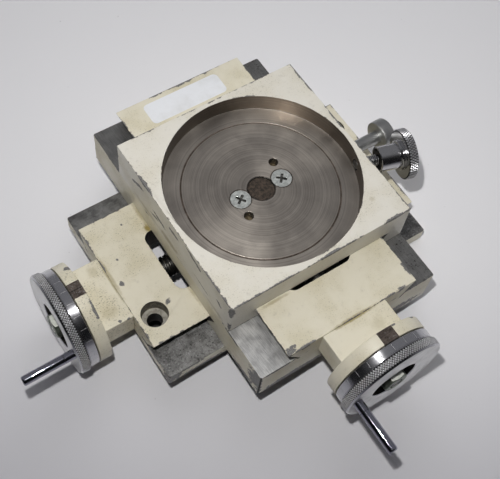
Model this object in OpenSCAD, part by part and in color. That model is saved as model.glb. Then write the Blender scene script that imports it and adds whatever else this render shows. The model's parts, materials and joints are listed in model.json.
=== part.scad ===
// Cross slide: a square table with a round recess on two dovetail slides, each driven by a handwheel.
// X is the lower slide, Y the upper slide, Z is up; the origin is the centre of the base underside.
// All sizes in millimetres.

/* [Table] */
// Side of the square table, also the width of the base and the saddle
table_w = 88; // [70:1:130]
// Table thickness
table_t = 20.3; // [18:0.1:30]
// Round recess diameter
recess_d = 83.8; // [50:0.2:84]
// Round recess depth
recess_h = 8.8; // [4:0.1:9]
// Radius of the turned groove in the recess floor
groove_r = 34; // [24:0.5:38]
// Width of the turned groove
groove_w = 0.5; // [0.3:0.1:1]
// Nut screw spacing from the table centre
nut_screw_x = 10.4; // [10:0.1:11]
// Centre plug diameter
plug_d = 11.6; // [6:0.1:11.8]

/* [Base and saddle] */
// Base length along X
base_l = 135; // [130:1:160]
// Saddle length along Y
saddle_l = 135; // [130:1:160]
// Base slab thickness under the ways
base_t = 6.5; // [6:0.1:12]
// Saddle slab thickness
saddle_t = 17.5; // [17:0.1:26]
// Corner radius of both slabs in plan
corner_r = 1; // [0.5:0.5:6]
// Saddle centre from the base centre along Y, because the gib takes its room on one side
saddle_y = -1.3; // [-1.6:0.1:0]
// Mounting hole position along X
mount_x = 59.7; // [55:0.1:60]
// Mounting hole position along Y
mount_y = 19.3; // [18:0.1:20]
// Mounting hole diameter
mount_d = 6.6; // [4.5:0.1:7]
// Mounting counterbore diameter
mount_cd = 11.6; // [8:0.1:11.6]
// Mounting counterbore depth
mount_ch = 6.5; // [4:0.1:7]

/* [Dovetails] */
// Width across the dovetail top
dove_w = 64; // [62:0.5:66]
// Dovetail height
dove_h = 7.6; // [7.4:0.1:9]
// Flank angle
flank = 55; // [50:1:60]
// Length of the relief cut below the root
relief = 3; // [1:0.1:4]
// Gib strip thickness
gib_t = 2.5; // [2:0.1:3]

/* [Lead screws] */
// Thread major diameter
screw_d = 10; // [8.5:0.5:10.5]
// Axis height above the way surface
screw_up = 1.3; // [1:0.1:1.4]
// Journal diameter
journal_d = 8; // [7:0.5:8]
// Width of the screw channel
slot_w = 31.5; // [30:0.5:34]
// Length of the screw channel
slot_l = 91; // [86:1:100]
// Corner radius of the screw channel
slot_r = 4; // [2:0.5:6]
// Depth of the upper channel below the way surface
channel_h = 6.6; // [6:0.1:6.8]

/* [Handwheels] */
// Handwheel diameter over the knurl
wheel_d = 45.8; // [40:0.2:52]
// Width of the knurled rim
wheel_t = 4.4; // [3:0.1:7]
// Diameter of the recess in the wheel face
face_d = 20.6; // [16:0.2:24]
// Dial diameter
dial_d = 44; // [39:0.2:48]
// Dial width
dial_t = 4.45; // [3:0.05:6]
// Bracket flange diameter
flange_d = 44; // [39:0.2:48]
// Bracket flange thickness
flange_t = 5.5; // [4:0.1:8]
// Bracket block length
block_l = 13.8; // [10:0.1:20]
// Bracket block width
block_w = 31.3; // [28:0.1:36]
// Handle pin diameter
pin_d = 4.2; // [3:0.1:6]
// Handle pin length in front of the wheel
pin_l = 22.7; // [15:0.1:40]
// Handle pin radius from the screw axis
pin_r = 19.2; // [15:0.1:20]
// Handle angle of the X wheel
pin_ax = 158; // [0:1:360]
// Handle angle of the Y wheel
pin_ay = 10; // [0:1:360]

/* [Knobs] */
// Clamp screw direction in the table plane
clamp_a = -16.5; // [-20:0.5:-14]
// Clamp screw height above the recess floor
clamp_up = 2.9; // [2.7:0.1:4]
// Clamp stud diameter
clamp_d = 5; // [4:0.5:5]
// Clamp knob diameter
clamp_kd = 22.4; // [16:0.2:24]
// Clamp knob rim width
clamp_kt = 4.3; // [3:0.1:6]
// Lock screw diameter
lock_d = 6; // [4:0.5:6]
// Lock knob diameter
lock_kd = 13.8; // [10:0.2:15]
// Lock knob width
lock_kt = 5.8; // [4:0.1:8]
// Distance from the table side to the lock knob
lock_out = 19.6; // [12:0.1:24]

/* [Position shown] */
// Saddle position from the base centre
rest_x = 3.2; // [-20:0.1:20]
// Table position from the saddle centre
rest_y = 0; // [-20:0.1:20]

/* [Hidden] */
$fn = 72;
gap = 0.1;
half = table_w / 2;
z_way1 = base_t;
z_dove1 = z_way1 + dove_h;
z_ceil1 = z_dove1 + 0.2;
z_sad = z_way1 + gap;
lift = saddle_t + gap;
z_way2 = z_way1 + lift;
z_dove2 = z_way2 + dove_h;
z_ceil2 = z_dove2 + 0.2;
z_tab = z_way2 + gap;
z_top = z_tab + table_t;
z_floor = z_top - recess_h;
z_ax = z_way1 + screw_up;
ct = cos(flank) / sin(flank);
top_h = dove_w / 2;
root_h = top_h - dove_h * ct;
gib_x = (gib_t + 0.15) / sin(flank);
cut_w = 0.8 / sin(flank);
screw_r = screw_d / 2;
journal_r = journal_d / 2;
end_x = base_l / 2;
flange_x = end_x + block_l;
front_x = flange_x + flange_t;
dial_x = front_x + 0.15;
boss_x = front_x + 0.25;
rim_x = dial_x + dial_t + 0.1;
face_x = rim_x + wheel_t;
seat_x = boss_x + 4;
boss_r = 16;
collar_r = 7.75;
collar_t = 3.6;
bolt_y = 11.8;
bolt_r = 1.5;
bolt_hr = 2.75;
bolt_hh = 3;
bolt_in = 8.5;
notch_w = 7;
notch_h = 1.4;
plate_t = 1;
block_down = 5.5;
run_c = 0.15;
far_l = 12.5;
end_r = 3;
end_l = 6.1;
rim_c = 0.5;
edge_c = 0.4;
pin_in = 3;
dial_c = 0.12;
washer_r = 6;
washer_t = 1.2;
hex_af = 10;
hex_h = 5;
hex_c = 0.6;
nut_under = 1.3;
x_nut_bolt = 9.6;
m4_r = 2;
m4_hr = 4.1;
m5_r = 2.5;
m5_hr = 4.45;
csk_h = 2.1;
cross_mid = 41.5;
cross_off = 6.5;
pin_hole = [11.9, 8.5];
pin_hole_r = 2;
groove_h = 0.3;
set_y = 27;
set_out = 5;
set_tip = 1.1;
lock_af = 8;
lock_h = 3.2;
slit = 0.8;
v_mid = dove_h / 2;
z_gib = z_way2 + v_mid;
gib_face = root_h + gib_x + v_mid * ct;
gib_screw_y = -root_h - gib_x - 7.1;
gib_screw_z = z_way1 + dove_h - 0.1;
lock_r = lock_d / 2;
clamp_z = z_floor + clamp_up;
clamp_r = clamp_d / 2;
wall_r = recess_d / 2;
stud_in = wall_r + 1.2;
hub_in = wall_r + 10.3;
knob_in = hub_in + 10.4;
hub_r = 5.7;
neck_r = 6.7;
neck_l = 1.4;
hub_step = 1;

// A round bar along X from x0 to x1
module bar(r, x0, x1) {
    translate([x0, 0, 0])
        rotate([0, 90, 0])
            cylinder(r = r, h = x1 - x0);
}

// A round disc along X from x0 to x1 with both edges chamfered by c
module disc(r, c, x0, x1) {
    bar(r, x0 + c, x1 - c);
    translate([x0, 0, 0])
        rotate([0, 90, 0])
            cylinder(r1 = r - c, r2 = r, h = c);
    translate([x1 - c, 0, 0])
        rotate([0, 90, 0])
            cylinder(r1 = r, r2 = r - c, h = c);
}

// A hexagon bar along X from x0 to x1
module hexbar(af, x0, x1) {
    translate([x0, 0, 0])
        rotate([0, 90, 0])
            cylinder(d = af / cos(30), h = x1 - x0, $fn = 6);
}

// Moves a piece of the X drive to the place of the Y drive
module to_y() {
    translate([rest_x, saddle_y, lift])
        rotate([0, 0, 90])
            children();
}

// Moves a piece that fits the base's dovetail and lead screw to its place along X
module on_slide() {
    translate([rest_x, 0, 0])
        children();
}

// Moves a piece of the saddle to its place along X, centred on the saddle
module on_saddle() {
    translate([rest_x, saddle_y, 0])
        children();
}

// Moves a piece of the table to its place along X and Y
module on_table() {
    translate([rest_x, saddle_y + rest_y, 0])
        children();
}

// Moves a piece to the lead screw axis of the X drive
module on_axis() {
    translate([0, 0, z_ax])
        children();
}

// Slab with a dovetail on top, as a section; v is measured from the way surface
module way_section(w, t) {
    b = root_h - relief * cos(flank);
    d = -relief * sin(flank);
    polygon([
        [-w / 2, -t], [w / 2, -t], [w / 2, 0], [root_h + cut_w, 0], [b + cut_w, d], [b, d],
        [top_h, dove_h], [-top_h, dove_h], [-b, d], [-b - cut_w, d], [-root_h - cut_w, 0], [-w / 2, 0]
    ]);
}

// Opening for the dovetail below, with room for the gib on the positive side
module slide_section() {
    u = dove_h + 0.2;
    c = 0.18;
    polygon([
        [-root_h - c + 2 * ct, -2], [-root_h - c - u * ct, u], [root_h + gib_x + u * ct, u],
        [root_h + gib_x - 2 * ct, -2]
    ]);
}

// Gib strip between the dovetail flank and the slide
module gib_section() {
    a = 0.3;
    b = dove_h - 0.1;
    i = 0.12 / sin(flank);
    polygon([
        [root_h + i + a * ct, a], [root_h + gib_x + a * ct, a], [root_h + gib_x + b * ct, b],
        [root_h + i + b * ct, b]
    ]);
}

// Extrudes a section of the lower slide along X; the section's right side lies at -Y
module along_x(l) {
    translate([-l / 2, 0, z_way1])
        rotate([90, 0, 90])
            mirror([1, 0, 0])
                linear_extrude(height = l)
                    children();
}

// Extrudes a section of the upper slide along Y; the section's right side lies at +X
module along_y(l) {
    translate([0, l / 2, z_way2])
        rotate([90, 0, 0])
            linear_extrude(height = l)
                children();
}

// Block centred on the origin in plan, with round upright corners, from z0 to z1
module round_block(l, w, r, z0, z1) {
    a = l / 2;
    b = w / 2;
    h = z1 - z0;
    translate([-a, -b + r, z0])
        cube([l, w - 2 * r, h]);
    translate([-a + r, -b, z0])
        cube([l - 2 * r, w, h]);
    for (sx = [-1, 1]) {
        for (sy = [-1, 1]) {
            translate([sx * (a - r), sy * (b - r), z0])
                cylinder(r = r, h = h);
        }
    }
}

// Lead screw channel, cut from z0 upwards
module channel(z0) {
    round_block(slot_l, slot_w, slot_r, z0, z_dove1 + 1);
}

// Holes of one drive in its slab: screw passage, far bearing and bracket screw threads
module drive_holes() {
    on_axis() {
        bar(screw_r + 0.4, -end_x - 1, -slot_l / 2 + 1);
        bar(journal_r + run_c, slot_l / 2 - 1, slot_l / 2 + far_l + 1.5);
        for (s = [-1, 1]) {
            translate([0, s * bolt_y, 0])
                bar(bolt_r, -end_x - 1, -end_x + bolt_in + 0.5);
        }
    }
}

module base() {
    color("Wheat")
        difference() {
            intersection() {
                along_x(base_l + 2)
                    way_section(table_w + 2, base_t);
                round_block(base_l, table_w, corner_r, -1, z_dove1 + 1);
            }
            channel(-1);
            drive_holes();
            for (s = [-1, 1]) {
                translate([s * mount_x, s * mount_y, -1])
                    cylinder(d = mount_d, h = z_dove1 + 2);
                translate([s * mount_x, s * mount_y, z_dove1 - mount_ch])
                    cylinder(d = mount_cd, h = mount_ch + 1);
            }
        }
}

module bracket() {
    fr = flange_d / 2;
    difference() {
        union() {
            translate([-flange_x - 0.5, -block_w / 2, z_way1 - block_down])
                cube([block_l + 0.5, block_w, block_down + dove_h - 0.1]);
            on_axis()
                bar(fr, -front_x, -flange_x);
        }
        on_axis() {
            bar(journal_r + run_c, -front_x - 1, -end_x + 1);
            bar(collar_r + 2 * run_c, -front_x - 1, -front_x + collar_t + 0.2);
            translate([-front_x - 1, -notch_w / 2, fr - notch_h])
                cube([flange_t + 1, notch_w, 2 * notch_h]);
            for (s = [-1, 1]) {
                translate([0, s * bolt_y, 0]) {
                    bar(bolt_r + run_c, -front_x - 1, -end_x + 1);
                    bar(bolt_hr + run_c, -front_x - 1, -front_x + bolt_hh + 0.3);
                }
            }
        }
    }
}

module index_plate() {
    on_axis()
        translate([-front_x, -notch_w / 2, flange_d / 2 - notch_h])
            cube([flange_t, notch_w, plate_t]);
}

module bracket_screws() {
    on_axis()
        for (s = [-1, 1]) {
            translate([0, s * bolt_y, 0])
                difference() {
                    union() {
                        bar(bolt_r, -front_x + bolt_hh + 0.3, -end_x + bolt_in);
                        bar(bolt_hr, -front_x + 0.3, -front_x + bolt_hh + 0.3);
                    }
                    hexbar(bolt_hr - 0.25, -front_x - 1, -front_x + bolt_hh - 1.1);
                }
        }
}

module leadscrew() {
    on_axis() {
        bar(screw_r, -end_x + 0.2, slot_l / 2 - 0.5);
        bar(journal_r, slot_l / 2 - 0.5, slot_l / 2 + far_l);
        bar(journal_r, -seat_x, -end_x + 0.2);
        bar(end_r, -seat_x - end_l, -seat_x);
    }
}

module collar() {
    on_axis()
        difference() {
            bar(collar_r, -boss_x, -front_x + collar_t);
            bar(journal_r, -boss_x - 1, -front_x + collar_t + 1);
        }
}

module handwheel(a) {
    wr = wheel_d / 2;
    on_axis()
        difference() {
            union() {
                disc(wr, rim_c, -face_x, -rim_x);
                bar(boss_r, -rim_x, -boss_x);
            }
            bar(journal_r, -face_x - 1, -boss_x + 1);
            bar(face_d / 2, -face_x - 1, -seat_x);
            rotate([a, 0, 0])
                translate([0, pin_r, 0])
                    bar(pin_d / 2, -face_x - 1, -face_x + pin_in);
        }
}

module washer() {
    on_axis()
        difference() {
            bar(washer_r, -seat_x - washer_t, -seat_x);
            bar(end_r, -seat_x - washer_t - 1, -seat_x + 1);
        }
}

module wheel_nut() {
    in_x = -seat_x - washer_t;
    out_x = in_x - hex_h;
    tip_r = hex_af / 2 / cos(30);
    on_axis()
        difference() {
            intersection() {
                rotate([30, 0, 0])
                    hexbar(hex_af, out_x, in_x);
                union() {
                    bar(tip_r + 0.03, out_x + hex_c, in_x);
                    translate([out_x, 0, 0])
                        rotate([0, 90, 0])
                            cylinder(r1 = tip_r - 0.87, r2 = tip_r + 0.03, h = hex_c);
                }
            }
            bar(end_r, out_x - 1, in_x + 1);
        }
}

module handle(a) {
    pr = pin_d / 2;
    on_axis()
        rotate([a, 0, 0])
            translate([0, pin_r, 0]) {
                bar(pr, -face_x - pin_l + edge_c, -face_x + pin_in);
                translate([-face_x - pin_l, 0, 0])
                    rotate([0, 90, 0])
                        cylinder(r1 = pr - edge_c, r2 = pr, h = edge_c);
            }
}

module dial() {
    dr = dial_d / 2;
    on_axis()
        difference() {
            union() {
                bar(dr, -dial_x - dial_t, -dial_x - edge_c);
                translate([-dial_x - edge_c, 0, 0])
                    rotate([0, 90, 0])
                        cylinder(r1 = dr, r2 = dr - edge_c, h = edge_c);
            }
            bar(boss_r + dial_c, -dial_x - dial_t - 1, -dial_x + 1);
        }
}

// Countersunk screw pointing down, head top at z = 0, its driver cross turned by a
module csk_screw(r, hr, hh, l, a) {
    difference() {
        union() {
            translate([0, 0, -hh])
                cylinder(r1 = r, r2 = hr, h = hh);
            translate([0, 0, -l])
                cylinder(r = r, h = l - hh);
        }
        for (q = [0, 90]) {
            rotate([0, 0, q + a])
                translate([-r * 0.95, -r * 0.22, -hh * 0.8])
                    cube([r * 1.9, r * 0.44, hh]);
        }
    }
}

// Lead screw nut below a slide; n is the half length along the screw, c the ceiling above it
module nut_block(n, w, c) {
    on_axis()
        difference() {
            translate([-n, -w, -screw_r - nut_under])
                cube([2 * n, 2 * w, screw_r + nut_under + c - z_ax]);
            bar(screw_r + run_c, -n - 1, n + 1);
        }
}

module saddle() {
    color("Wheat")
        difference() {
            on_saddle()
                difference() {
                    intersection() {
                        along_y(saddle_l + 2)
                            way_section(table_w + 2, saddle_t);
                        round_block(table_w, saddle_l, corner_r, z_sad - 1, z_dove2 + 1);
                    }
                    translate([0, 0, lift])
                        rotate([0, 0, 90]) {
                            channel(z_way1 - channel_h);
                            drive_holes();
                        }
                }
            on_slide() {
                along_x(table_w + 2)
                    slide_section();
                for (s = [-1, 1]) {
                    translate([0, s * x_nut_bolt, 0]) {
                        translate([0, 0, z_ceil1 - 1])
                            cylinder(r = m4_r, h = 6);
                        translate([0, 0, z_way2 - channel_h - csk_h])
                            cylinder(r1 = m4_r, r2 = m4_hr, h = csk_h);
                    }
                }
                translate([0, gib_screw_y, gib_screw_z])
                    bar(bolt_r, half - 10, half + 1);
            }
        }
}

module x_gib() {
    color("DimGray")
        on_slide()
            along_x(table_w)
                gib_section();
}

module x_gib_screw() {
    color("DarkGray")
        on_slide()
            translate([0, gib_screw_y, gib_screw_z])
                difference() {
                    union() {
                        bar(bolt_r, half - 9, half);
                        bar(bolt_hr, half, half + 1.5);
                    }
                    translate([half + slit, -bolt_hr - 1, -slit / 2])
                        cube([2, 2 * bolt_hr + 2, slit]);
                }
}

module x_nut() {
    color("DarkGoldenrod")
        on_slide()
            difference() {
                nut_block(12, 13, z_ceil1);
                for (s = [-1, 1]) {
                    translate([0, s * x_nut_bolt, z_ceil1 - 7])
                        cylinder(r = m4_r, h = 8);
                }
            }
}

module x_nut_screws() {
    color("DarkGray")
        on_slide()
            for (s = [-1, 1]) {
                translate([0, s * x_nut_bolt, z_way2 - channel_h])
                    csk_screw(m4_r, m4_hr, csk_h, 9, 0);
            }
}

module table() {
    color("Wheat")
        on_table()
            difference() {
                translate([-half, -half, z_tab])
                    cube([table_w, table_w, table_t]);
                along_y(table_w + 2)
                    slide_section();
                translate([0, 0, z_floor])
                    cylinder(r = wall_r, h = recess_h + 1, $fn = 180);
                translate([0, 0, z_floor - groove_h])
                    difference() {
                        cylinder(r = groove_r + groove_w / 2, h = 1, $fn = 180);
                        translate([0, 0, -1])
                            cylinder(r = groove_r - groove_w / 2, h = 3, $fn = 180);
                    }
                translate([0, 0, z_ceil2 - 1])
                    cylinder(d = plug_d, h = 8);
                for (s = [-1, 1]) {
                    translate([s * nut_screw_x, 0, 0]) {
                        translate([0, 0, z_ceil2 - 1])
                            cylinder(r = m5_r, h = 8);
                        translate([0, 0, z_floor - csk_h])
                            cylinder(r1 = m5_r, r2 = m5_hr + run_c, h = csk_h);
                    }
                    translate([s * pin_hole.x, s * pin_hole.y, z_ceil2 - 1])
                        cylinder(r = pin_hole_r, h = 8);
                    translate([0, s * set_y, z_gib])
                        bar(m5_r, gib_face - 6, half + 1);
                }
                translate([0, 0, z_gib])
                    bar(lock_r + 0.1, gib_face - 6, half + 1);
                rotate([0, 0, clamp_a])
                    translate([0, 0, clamp_z])
                        bar(clamp_r + 0.1, wall_r - 3, half + 6);
            }
}

module y_gib() {
    color("DimGray")
        on_table()
            along_y(table_w)
                gib_section();
}

module y_gib_screws() {
    color("DarkGray")
        on_table()
            for (s = [-1, 1]) {
                translate([0, s * set_y, z_gib])
                    difference() {
                        union() {
                            bar(m5_r, gib_face + 2.1, half + set_out);
                            bar(set_tip, gib_face + 0.85, gib_face + 2.2);
                        }
                        translate([half + set_out - 1, -m5_r - 1, -slit / 2])
                            cube([2, 2 * m5_r + 2, slit]);
                    }
            }
}

module y_gib_locknuts() {
    color("DarkGray")
        on_table()
            for (s = [-1, 1]) {
                translate([0, s * set_y, z_gib])
                    difference() {
                        hexbar(lock_af, half, half + lock_h);
                        bar(m5_r, half - 1, half + lock_h + 1);
                    }
            }
}

module y_nut() {
    color("DarkGoldenrod")
        translate([0, rest_y, 0])
            to_y()
                difference() {
                    nut_block(14, 14.2, z_ceil1);
                    for (s = [-1, 1]) {
                        translate([0, s * nut_screw_x, z_ceil1 - 8])
                            cylinder(r = m5_r, h = 9);
                    }
                }
}

module y_nut_screws() {
    color("Silver")
        on_table()
            for (s = [-1, 1]) {
                translate([s * nut_screw_x, 0, z_floor - 0.15])
                    csk_screw(m5_r, m5_hr, csk_h - run_c, 11, cross_mid + s * cross_off);
            }
}

module centre_plug() {
    color("SaddleBrown")
        on_table()
            translate([0, 0, z_ceil2])
                cylinder(d = plug_d, h = z_floor - z_ceil2 - 0.5);
}

module clamp_place() {
    on_table()
        rotate([0, 0, clamp_a])
            translate([0, 0, clamp_z])
                children();
}

module clamp_tip() {
    color("Gold")
        clamp_place()
            bar(clamp_r - 0.5, wall_r + 0.1, stud_in);
}

module clamp_stud() {
    color("Gray")
        clamp_place()
            bar(clamp_r, stud_in + 0.05, knob_in);
}

module clamp_knob() {
    kr = clamp_kd / 2;
    color("Silver")
        clamp_place()
            difference() {
                union() {
                    bar(hub_r - hub_step, hub_in, knob_in);
                    bar(hub_r, hub_in + hub_step, knob_in);
                    bar(neck_r, knob_in - neck_l, knob_in);
                    disc(kr, rim_c, knob_in, knob_in + clamp_kt);
                }
                bar(clamp_r, hub_in - 1, knob_in);
            }
}

module lock_place() {
    on_table()
        translate([0, 0, z_gib])
            children();
}

module lock_slug() {
    color("Gold")
        lock_place() {
            bar(lock_r - 0.1, gib_face + 2.4, gib_face + 6);
            bar(1, gib_face + 0.9, gib_face + 2.5);
        }
}

module lock_screw() {
    color("Silver")
        lock_place()
            bar(lock_r, gib_face + 6.05, half + lock_out + pin_in);
}

module lock_knob() {
    kr = lock_kd / 2;
    x0 = half + lock_out;
    color("Silver")
        lock_place()
            difference() {
                disc(kr, hex_c, x0, x0 + lock_kt);
                bar(lock_r, x0 - 1, x0 + pin_in);
            }
}

module x_bracket() {
    color("Wheat")
        bracket();
}

module x_index() {
    color("DimGray")
        index_plate();
}

module x_bracket_screws() {
    color("DimGray")
        bracket_screws();
}

module x_leadscrew() {
    color("Gray")
        leadscrew();
}

module x_collar() {
    color("Gray")
        collar();
}

module x_handwheel() {
    color("Silver")
        handwheel(pin_ax);
}

module x_washer() {
    color("Gray")
        washer();
}

module x_wheel_nut() {
    color("DarkGray")
        wheel_nut();
}

module x_handle() {
    color("Silver")
        handle(pin_ax);
}

module x_dial() {
    color("Silver")
        dial();
}

module y_bracket() {
    color("Wheat")
        to_y()
            bracket();
}

module y_index() {
    color("DimGray")
        to_y()
            index_plate();
}

module y_bracket_screws() {
    color("DimGray")
        to_y()
            bracket_screws();
}

module y_leadscrew() {
    color("Gray")
        to_y()
            leadscrew();
}

module y_collar() {
    color("Gray")
        to_y()
            collar();
}

module y_handwheel() {
    color("Silver")
        to_y()
            handwheel(pin_ay);
}

module y_washer() {
    color("Gray")
        to_y()
            washer();
}

module y_wheel_nut() {
    color("DarkGray")
        to_y()
            wheel_nut();
}

module y_handle() {
    color("Silver")
        to_y()
            handle(pin_ay);
}

module y_dial() {
    color("Silver")
        to_y()
            dial();
}

base();
x_bracket();
x_index();
x_bracket_screws();
x_leadscrew();
x_collar();
x_handwheel();
x_washer();
x_wheel_nut();
x_handle();
x_dial();
saddle();
x_gib();
x_gib_screw();
x_nut();
x_nut_screws();
y_bracket();
y_index();
y_bracket_screws();
y_leadscrew();
y_collar();
y_handwheel();
y_washer();
y_wheel_nut();
y_handle();
y_dial();
table();
y_gib();
y_gib_screws();
y_gib_locknuts();
y_nut();
y_nut_screws();
centre_plug();
clamp_tip();
clamp_stud();
clamp_knob();
lock_slug();
lock_screw();
lock_knob();
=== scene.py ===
import json
import math

import bmesh
import bpy
from mathutils import Matrix, Vector


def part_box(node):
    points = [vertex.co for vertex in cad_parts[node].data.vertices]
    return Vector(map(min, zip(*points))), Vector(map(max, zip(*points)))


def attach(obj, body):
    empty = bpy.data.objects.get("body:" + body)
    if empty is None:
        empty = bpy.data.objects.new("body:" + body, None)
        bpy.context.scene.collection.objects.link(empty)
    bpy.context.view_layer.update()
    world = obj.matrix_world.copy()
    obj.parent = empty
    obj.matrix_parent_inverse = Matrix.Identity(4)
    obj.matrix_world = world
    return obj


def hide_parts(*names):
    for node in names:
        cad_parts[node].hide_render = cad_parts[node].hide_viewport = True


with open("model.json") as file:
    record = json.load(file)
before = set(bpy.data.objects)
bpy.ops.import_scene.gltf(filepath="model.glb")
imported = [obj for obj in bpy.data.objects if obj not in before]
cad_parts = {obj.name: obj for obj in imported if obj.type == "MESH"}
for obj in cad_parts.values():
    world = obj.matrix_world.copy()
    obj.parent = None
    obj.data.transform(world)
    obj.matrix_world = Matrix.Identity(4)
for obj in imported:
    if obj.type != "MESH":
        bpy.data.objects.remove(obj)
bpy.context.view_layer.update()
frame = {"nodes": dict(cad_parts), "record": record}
record = frame["record"]
mm = 0.001
plain = (0, 0, 0)  # no turn
bodyOf = {node: body for body, nodes in record["behaviour"]["bodies"].items() for node in nodes}
print("frame loaded:", len(frame["nodes"]), "nodes")


def boxOf(node):
    low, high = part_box(node)
    return low / mm, high / mm


def middleOf(node):
    low, high = boxOf(node)
    return (low + high) / 2


# Places read from the frame, in millimetres
tableLow, tableHigh = boxOf("table")
baseLow, baseHigh = boxOf("base")
saddleLow, saddleHigh = boxOf("saddle")
wheelLow, wheelHigh = boxOf("x_handwheel")
screwLow, screwHigh = boxOf("x_leadscrew")
dialLow, dialHigh = boxOf("x_dial")
headsLow, headsHigh = boxOf("y_nut_screws")
plugLow, plugHigh = boxOf("centre_plug")
axisX = middleOf("x_handwheel")
axisY = middleOf("y_handwheel")
tableMid = middleOf("table")
screwRadius = (headsHigh.y - headsLow.y) / 2
screwApart = (headsHigh.x - headsLow.x) / 2 - screwRadius
plugRadius = (plugHigh.x - plugLow.x) / 2
driveShift = Vector((axisY.x, middleOf("saddle").y, axisY.z - axisX.z))
drivePlace = {
    "x": Matrix.Identity(4),
    "y": Matrix.Translation(driveShift * mm) @ Matrix.Rotation(math.pi / 2, 4, "Z"),
}
waySize = {"baseLand": 6.5, "saddleLand": 24.1, "half": 32.0, "recess": 41.9, "recessFloor": 35.7,
           "seat": 7.6}


# Node wiring with one short call for each kind of node
class Wiring:
    def __init__(self, tree):
        self.tree = tree

    def feed(self, socket, value):
        if isinstance(value, bpy.types.NodeSocket):
            self.tree.links.new(value, socket)
        else:
            socket.default_value = value

    def feedAll(self, node, values, out=0):
        for socket, value in zip(node.inputs, values):
            self.feed(socket, value)
        return node.outputs[out]

    def add(self, kind, inputs=None, **settings):
        node = self.tree.nodes.new(kind)
        for name, value in settings.items():
            setattr(node, name, value)
        for name, value in (inputs or {}).items():
            self.feed(node.inputs[name], value)
        return node

    def made(self, kind, inputs=None, **settings):
        return self.add(kind, inputs, **settings).outputs[0]

    def calc(self, operation, *values):
        return self.feedAll(self.add("ShaderNodeMath", operation=operation), values)

    def vector(self, operation, *values, out=0):
        return self.feedAll(self.add("ShaderNodeVectorMath", operation=operation), values, out)

    def plus(self, a, b):
        return self.calc("ADD", a, b)

    def less(self, a, b):
        return self.calc("SUBTRACT", a, b)

    def times(self, a, b):
        return self.calc("MULTIPLY", a, b)

    def scaled(self, value, factor, extra):
        return self.calc("MULTIPLY_ADD", value, factor, extra)

    def distance(self, place, point):
        return self.vector("DISTANCE", place, point, out=1)

    def length(self, place):
        return self.vector("LENGTH", place, out=1)

    def towards(self, place, direction):
        return self.vector("DOT_PRODUCT", place, direction, out=1)

    def part(self, place, axis):
        return self.add("ShaderNodeSeparateXYZ", {"Vector": place}).outputs["xyz".index(axis)]

    def joined(self, parts):
        return self.made("ShaderNodeCombineXYZ", parts)

    def noise(self, place, scale, detail=3.0, rough=0.55, warp=0.0):  # scale in cells per millimetre
        values = {"Vector": place, "Scale": scale, "Detail": detail, "Roughness": rough, "Distortion": warp}
        return self.made("ShaderNodeTexNoise", values)

    def ramp(self, value, start, stop, low=0.0, high=1.0):
        node = self.add("ShaderNodeMapRange", interpolation_type="SMOOTHSTEP")
        return self.feedAll(node, (value, start, stop, low, high))

    def mix(self, amount, a, b):
        node = self.add("ShaderNodeMix", data_type="RGBA")
        for index, value in ((0, amount), (6, a), (7, b)):
            self.feed(node.inputs[index], value)
        return node.outputs[2]

    def tint(self, colour, mask, amount, tone):
        return self.mix(self.times(mask, amount), colour, tone)

    def place(self):  # object coordinates in millimetres
        start = self.add("ShaderNodeTexCoord").outputs["Object"]
        return self.vector("MULTIPLY", start, (1 / mm, 1 / mm, 1 / mm))

    def turned(self, place, turn, size, middle=(0, 0, 0)):
        values = {"Vector": place, "Location": middle, "Rotation": turn, "Scale": size}
        return self.made("ShaderNodeMapping", values, vector_type="TEXTURE")

    def acrossRings(self, shader, axis, amount):  # turning marks spread the light along the axis
        shader.inputs["Anisotropic"].default_value = amount
        shader.inputs["Anisotropic Rotation"].default_value = 0.25
        tangent = self.made("ShaderNodeTangent", direction_type="RADIAL", axis=axis)
        self.feed(shader.inputs["Tangent"], tangent)

    def coat(self, shader, colour, rough, height, strength):
        values = {"Strength": strength, "Distance": mm, "Height": height}
        normal = self.made("ShaderNodeBump", values)
        for name, value in {"Base Color": colour, "Roughness": rough, "Normal": normal}.items():
            self.feed(shader.inputs[name], value)


def rgb(r, g, b):
    return (r, g, b, 1.0)


def newLook(name, **values):
    look = bpy.data.materials.new(name)
    look.use_nodes = True
    shader = look.node_tree.nodes["Principled BSDF"]
    for key, value in values.items():
        shader.inputs[key].default_value = value
    return look, Wiring(look.node_tree), shader


# Cream paint: chipped along edges and at marks, stained, slightly uneven
paintTone = {
    "table": {"paint": rgb(0.74, 0.715, 0.645), "aged": rgb(0.68, 0.645, 0.55)},
    "ways": {"paint": rgb(0.735, 0.695, 0.57), "aged": rgb(0.635, 0.585, 0.435)},
    "bare": rgb(0.12, 0.117, 0.114), "bareLight": rgb(0.25, 0.246, 0.24), "lip": rgb(0.42, 0.385, 0.32),
    "oil": rgb(0.26, 0.20, 0.05), "dirt": rgb(0.20, 0.17, 0.12), "speck": rgb(0.13, 0.115, 0.07),
}
paintWear = {"edge": (4.6, -2.05), "edgeTooth": (2.6, -1.0), "markTooth": (2.6, -0.35), "markSlope": 1.2,
             "stainTooth": (-1.1, 0.5), "chip": (0.0, 0.1), "lip": (-0.16, 0.02), "chipDepth": -0.09}


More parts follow.
